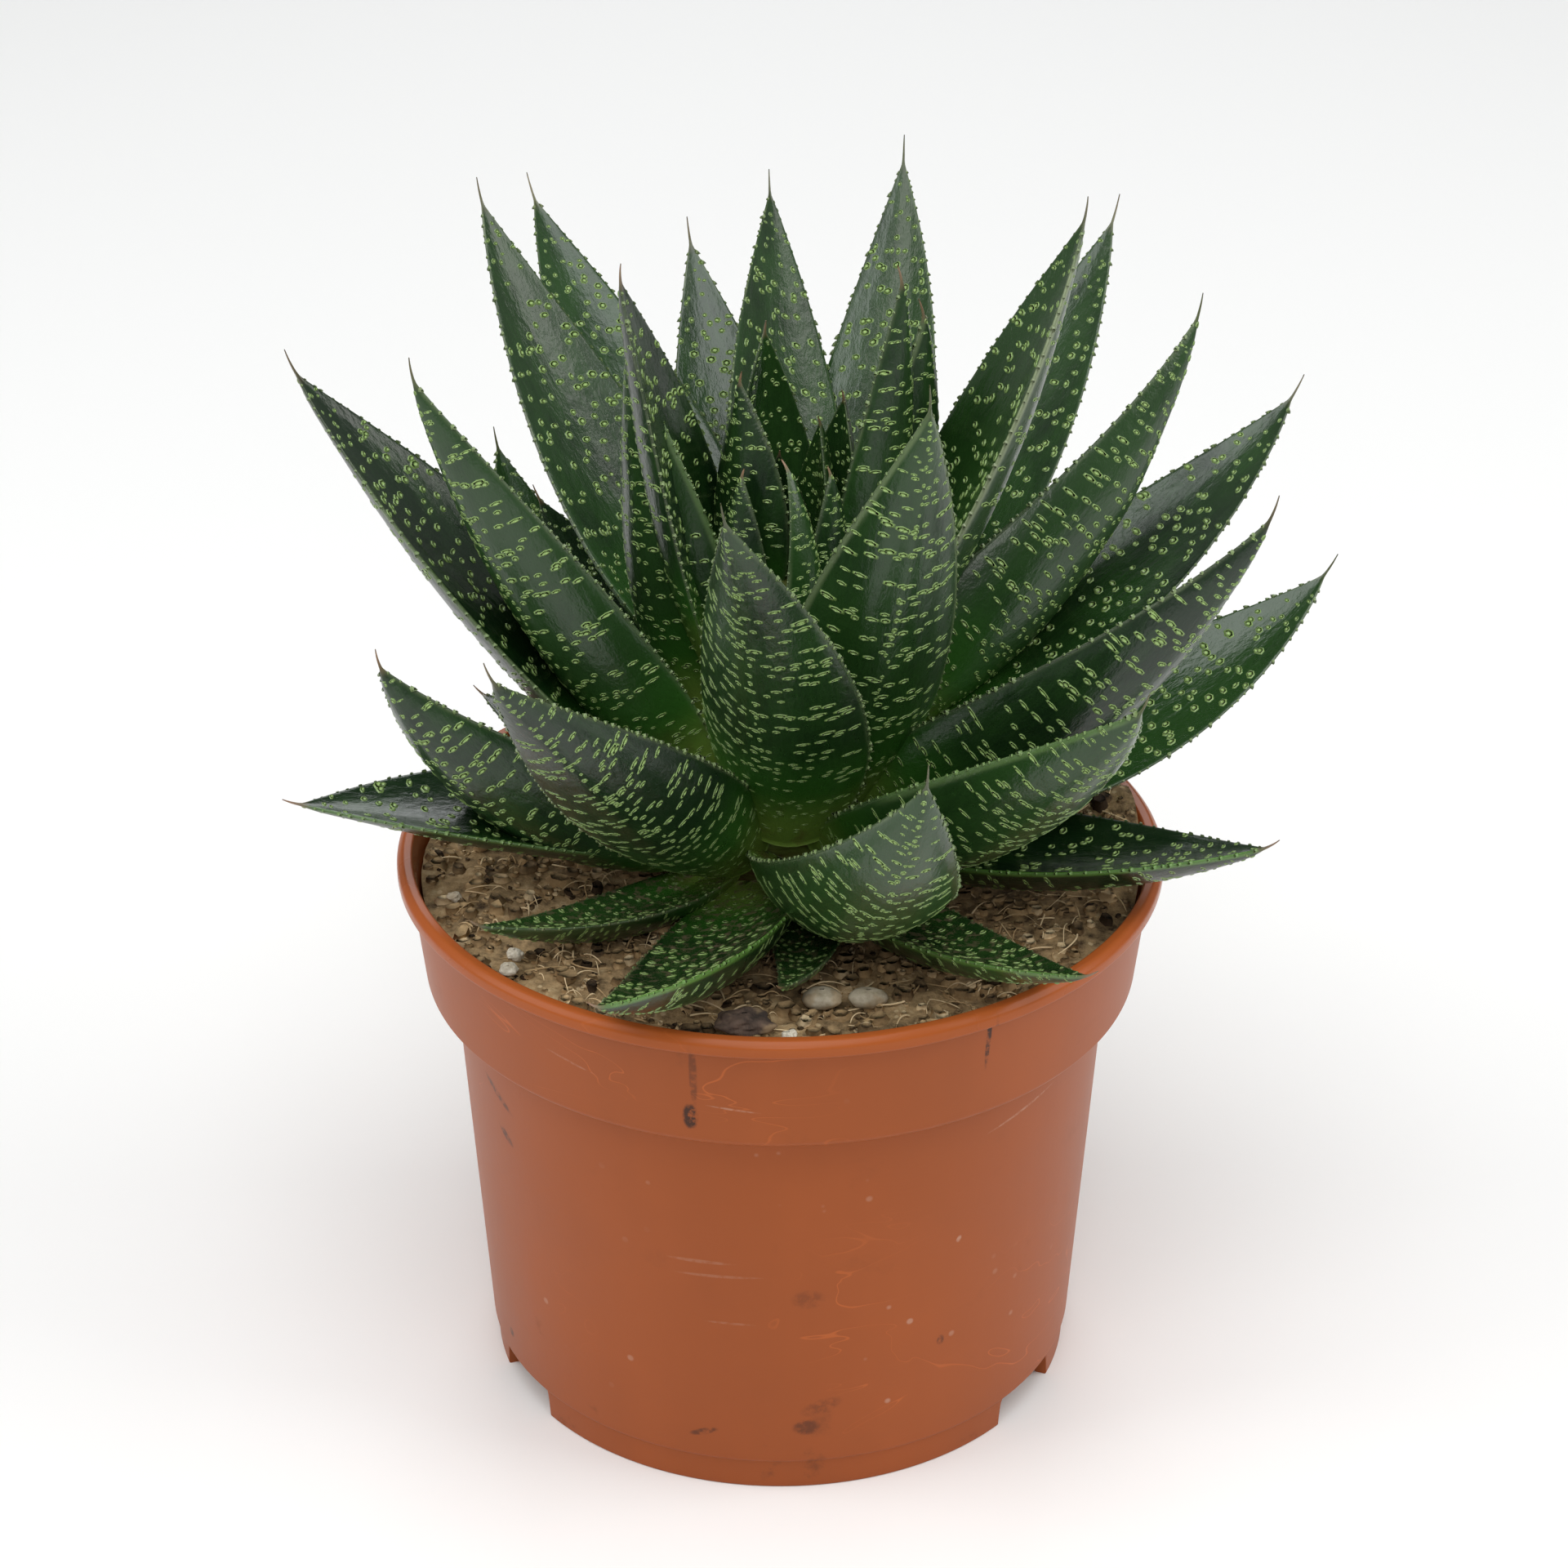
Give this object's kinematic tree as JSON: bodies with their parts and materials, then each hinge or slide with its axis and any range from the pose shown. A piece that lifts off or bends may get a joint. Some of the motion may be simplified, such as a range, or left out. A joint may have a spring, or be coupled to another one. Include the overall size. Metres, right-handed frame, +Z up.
{
  "type": "potted gasteria",
  "caption": "Potted gasteria: a rosette of dark green, spotted and toothed leaves in a terracotta-coloured plastic nursery pot filled with soil.",
  "frame": {"origin": "on the ground under the middle of the pot, in the plane its foot and centre pad stand on", "axes": "+Z up along the pot's axis, -Y to the front of the picture, +X to the picture's right"},
  "size_m": [0.1631, 0.1655, 0.1928],
  "materials": {
    "leaf_green": "satin",
    "leaf_base_green": "satin",
    "terracotta_plastic": "satin",
    "peat_soil": "matte",
    "pale_pebble": "satin",
    "dark_bark": "matte",
    "perlite": "matte"
  },
  "bodies": {
    "root": {"pot": "terracotta_plastic", "soil": "peat_soil", "stem": "leaf_base_green", "leaf_ground_1": "leaf_green", "leaf_ground_2": "leaf_green", "leaf_ground_3": "leaf_green", "leaf_ground_4": "leaf_green", "leaf_low_1": "leaf_green", "leaf_low_2": "leaf_green", "leaf_low_3": "leaf_green", "leaf_low_4": "leaf_green", "leaf_low_5": "leaf_green", "leaf_low_6": "leaf_green", "leaf_outer_1": "leaf_green", "leaf_outer_2": "leaf_green", "leaf_outer_3": "leaf_green", "leaf_outer_4": "leaf_green", "leaf_outer_5": "leaf_green", "leaf_outer_6": "leaf_green", "leaf_outer_7": "leaf_green", "leaf_outer_8": "leaf_green", "leaf_middle_1": "leaf_green", "leaf_middle_2": "leaf_green", "leaf_middle_3": "leaf_green", "leaf_middle_4": "leaf_green", "leaf_middle_5": "leaf_green", "leaf_middle_6": "leaf_green", "leaf_middle_7": "leaf_green", "leaf_middle_8": "leaf_green", "leaf_middle_9": "leaf_green", "leaf_upper_1": "leaf_green", "leaf_upper_2": "leaf_green", "leaf_upper_3": "leaf_green", "leaf_upper_4": "leaf_green", "leaf_upper_5": "leaf_green", "leaf_upper_6": "leaf_green", "leaf_upper_7": "leaf_green", "leaf_inner_1": "leaf_green", "leaf_inner_2": "leaf_green", "leaf_inner_3": "leaf_green", "leaf_inner_4": "leaf_green", "leaf_inner_5": "leaf_green", "leaf_heart_1": "leaf_green", "leaf_heart_2": "leaf_green", "leaf_heart_3": "leaf_green", "leaf_heart_4": "leaf_green", "leaf_heart_5": "leaf_green", "leaf_heart_6": "leaf_green", "leaf_heart_7": "leaf_green", "pebble_front_left": "pale_pebble", "pebble_front_right": "pale_pebble", "bark_chip": "dark_bark", "perlite_left_upper": "perlite", "perlite_left_lower": "perlite", "perlite_left_back": "perlite", "perlite_front": "perlite"}
  },
  "joints": []
}
